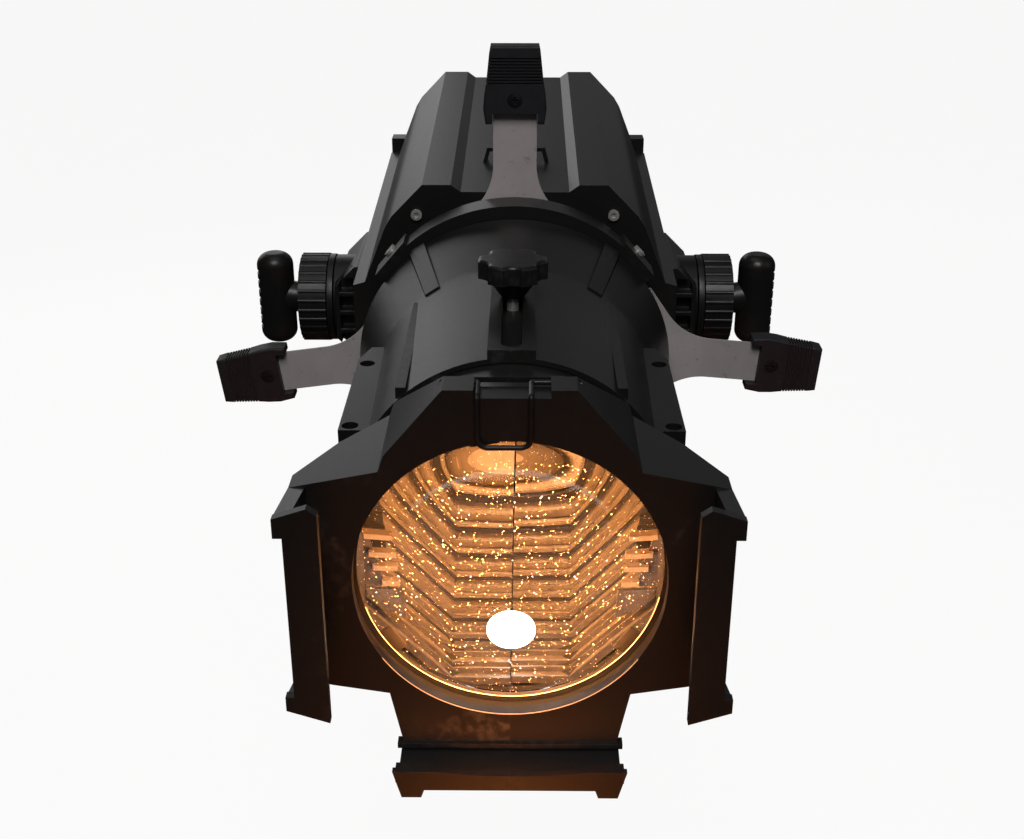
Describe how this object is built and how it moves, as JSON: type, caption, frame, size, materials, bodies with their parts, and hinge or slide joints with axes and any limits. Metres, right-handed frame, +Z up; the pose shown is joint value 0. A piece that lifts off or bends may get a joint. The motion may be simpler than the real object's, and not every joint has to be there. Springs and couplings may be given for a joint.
{
  "type": "ellipsoidal profile spotlight",
  "caption": "Black LED follow spot with a focusing lens barrel, framing shutters, gel frame holder and hanging yoke.",
  "frame": {"origin": "centre of the hanging hole in the yoke's cross bar", "axes": "+X across the lamp to the right seen from in front, +Y along the optical axis from the lens to the rear cover, +Z up"},
  "size_m": [0.3567, 0.6993, 0.344],
  "materials": {
    "powder_coat": "satin",
    "black_plastic": "satin",
    "handle_plastic": "matte",
    "blade_steel": "matte",
    "black_screw": "satin",
    "bright_screw": "polished",
    "black_wire": "satin",
    "optical_glass": "clear",
    "dark_anodised": "satin",
    "bare_aluminium": "satin",
    "sheet_steel": "satin",
    "circuit_board": "satin",
    "led_yellow": "gloss",
    "display_glass": "gloss"
  },
  "bodies": {
    "yoke": {"yoke": "powder_coat", "hub_disc_left": "black_plastic", "hub_disc_right": "black_plastic"},
    "head": {"housing_shell": "powder_coat", "rear_cover": "powder_coat", "cover_screws": "bright_screw", "display_window": "display_glass", "power_inlet": "black_plastic", "data_sockets": "black_plastic", "front_screws": "bright_screw", "safety_loop": "black_wire", "gate_housing": "powder_coat", "gate_aperture": "dark_anodised", "clamp_ring": "powder_coat", "clamp_screws": "bright_screw", "chassis": "sheet_steel", "heat_sink": "bare_aluminium", "led_module": "led_yellow", "lens_holder": "dark_anodised", "condenser_lens": "optical_glass", "fan_frame": "black_plastic", "driver_board": "circuit_board", "control_board": "circuit_board", "tilt_bracket_left": "powder_coat", "tilt_bracket_right": "powder_coat", "bracket_screws": "bright_screw"},
    "fan_rotor": {"fan_rotor": "black_plastic"},
    "barrel": {"barrel_left": "powder_coat", "barrel_right": "powder_coat", "barrel_screws": "bright_screw"},
    "lens_tube": {"lens_tube_left": "powder_coat", "lens_tube_right": "powder_coat", "front_lens": "optical_glass", "lens_ring": "dark_anodised", "focus_stud": "bright_screw"},
    "focus_knob": {"focus_knob": "black_plastic"},
    "gel_clip": {"gel_clip": "black_wire"},
    "tee_left": {"tee_handle_left": "black_plastic", "tilt_bolt_left": "bright_screw"},
    "tee_right": {"tee_handle_right": "black_plastic", "tilt_bolt_right": "bright_screw"},
    "shutter_top": {"shutter_blade_top": "blade_steel", "shutter_handle_top": "handle_plastic", "shutter_screw_top": "black_screw"},
    "shutter_bottom": {"shutter_blade_bottom": "blade_steel", "shutter_handle_bottom": "handle_plastic", "shutter_screw_bottom": "black_screw"},
    "shutter_left": {"shutter_blade_left": "blade_steel", "shutter_handle_left": "handle_plastic", "shutter_screw_left": "black_screw"},
    "shutter_right": {"shutter_blade_right": "blade_steel", "shutter_handle_right": "handle_plastic", "shutter_screw_right": "black_screw"},
    "menu_button_1": {"menu_button_1": "black_plastic"},
    "menu_button_2": {"menu_button_2": "black_plastic"},
    "menu_button_3": {"menu_button_3": "black_plastic"},
    "menu_button_4": {"menu_button_4": "black_plastic"}
  },
  "joints": [
    {"name": "head_tilt", "type": "hinge", "parent": "yoke", "child": "head", "pos_m": [0, -0.30183, 0.10629], "axis": [1, 0, 0], "range_deg": [-160, 115]},
    {"name": "tilt_lock_left", "type": "hinge", "parent": "head", "child": "tee_left", "pos_m": [-0.15, -0.30183, 0.10629], "axis": [1, 0, 0], "range_deg": [-180, 180]},
    {"name": "tilt_lock_right", "type": "hinge", "parent": "head", "child": "tee_right", "pos_m": [0.15, -0.30183, 0.10629], "axis": [1, 0, 0], "range_deg": [-180, 180]},
    {"name": "barrel_turn", "type": "hinge", "parent": "head", "child": "barrel", "pos_m": [0, -0.45283, 0.10629], "axis": [0, 1, 0], "range_deg": [-25, 25]},
    {"name": "focus_slide", "type": "slide", "parent": "barrel", "child": "lens_tube", "axis": [0, 1, 0], "range_m": [-0.05, 0.005]},
    {"name": "focus_lock", "type": "hinge", "parent": "lens_tube", "child": "focus_knob", "pos_m": [0, -0.51683, 0.18629], "axis": [0, 0, 1], "range_deg": [-360, 360]},
    {"name": "gel_clip_swing", "type": "hinge", "parent": "lens_tube", "child": "gel_clip", "pos_m": [0, -0.64023, 0.19039], "axis": [1, 0, 0], "range_deg": [-100, 0]},
    {"name": "fan_spin", "type": "hinge", "parent": "head", "child": "fan_rotor", "pos_m": [0, -0.20483, 0.10629], "axis": [0, 1, 0], "continuous": true},
    {"name": "shutter_top_slide", "type": "slide", "parent": "head", "child": "shutter_top", "axis": [0, 0, 1], "range_m": [-0.038, 0.008]},
    {"name": "shutter_bottom_slide", "type": "slide", "parent": "head", "child": "shutter_bottom", "axis": [0, 0, -1], "range_m": [-0.038, 0.008]},
    {"name": "shutter_left_slide", "type": "slide", "parent": "head", "child": "shutter_left", "axis": [-0.9912, 0, -0.1323], "range_m": [-0.046, 0.004]},
    {"name": "shutter_right_slide", "type": "slide", "parent": "head", "child": "shutter_right", "axis": [0.9965, 0, -0.0837], "range_m": [-0.05, 0]},
    {"name": "menu_button_1_press", "type": "slide", "parent": "head", "child": "menu_button_1", "axis": [0, -1, 0], "range_m": [0, 0.0015], "stiffness_N_per_m": 400},
    {"name": "menu_button_2_press", "type": "slide", "parent": "head", "child": "menu_button_2", "axis": [0, -1, 0], "range_m": [0, 0.0015], "stiffness_N_per_m": 400},
    {"name": "menu_button_3_press", "type": "slide", "parent": "head", "child": "menu_button_3", "axis": [0, -1, 0], "range_m": [0, 0.0015], "stiffness_N_per_m": 400},
    {"name": "menu_button_4_press", "type": "slide", "parent": "head", "child": "menu_button_4", "axis": [0, -1, 0], "range_m": [0, 0.0015], "stiffness_N_per_m": 400}
  ]
}
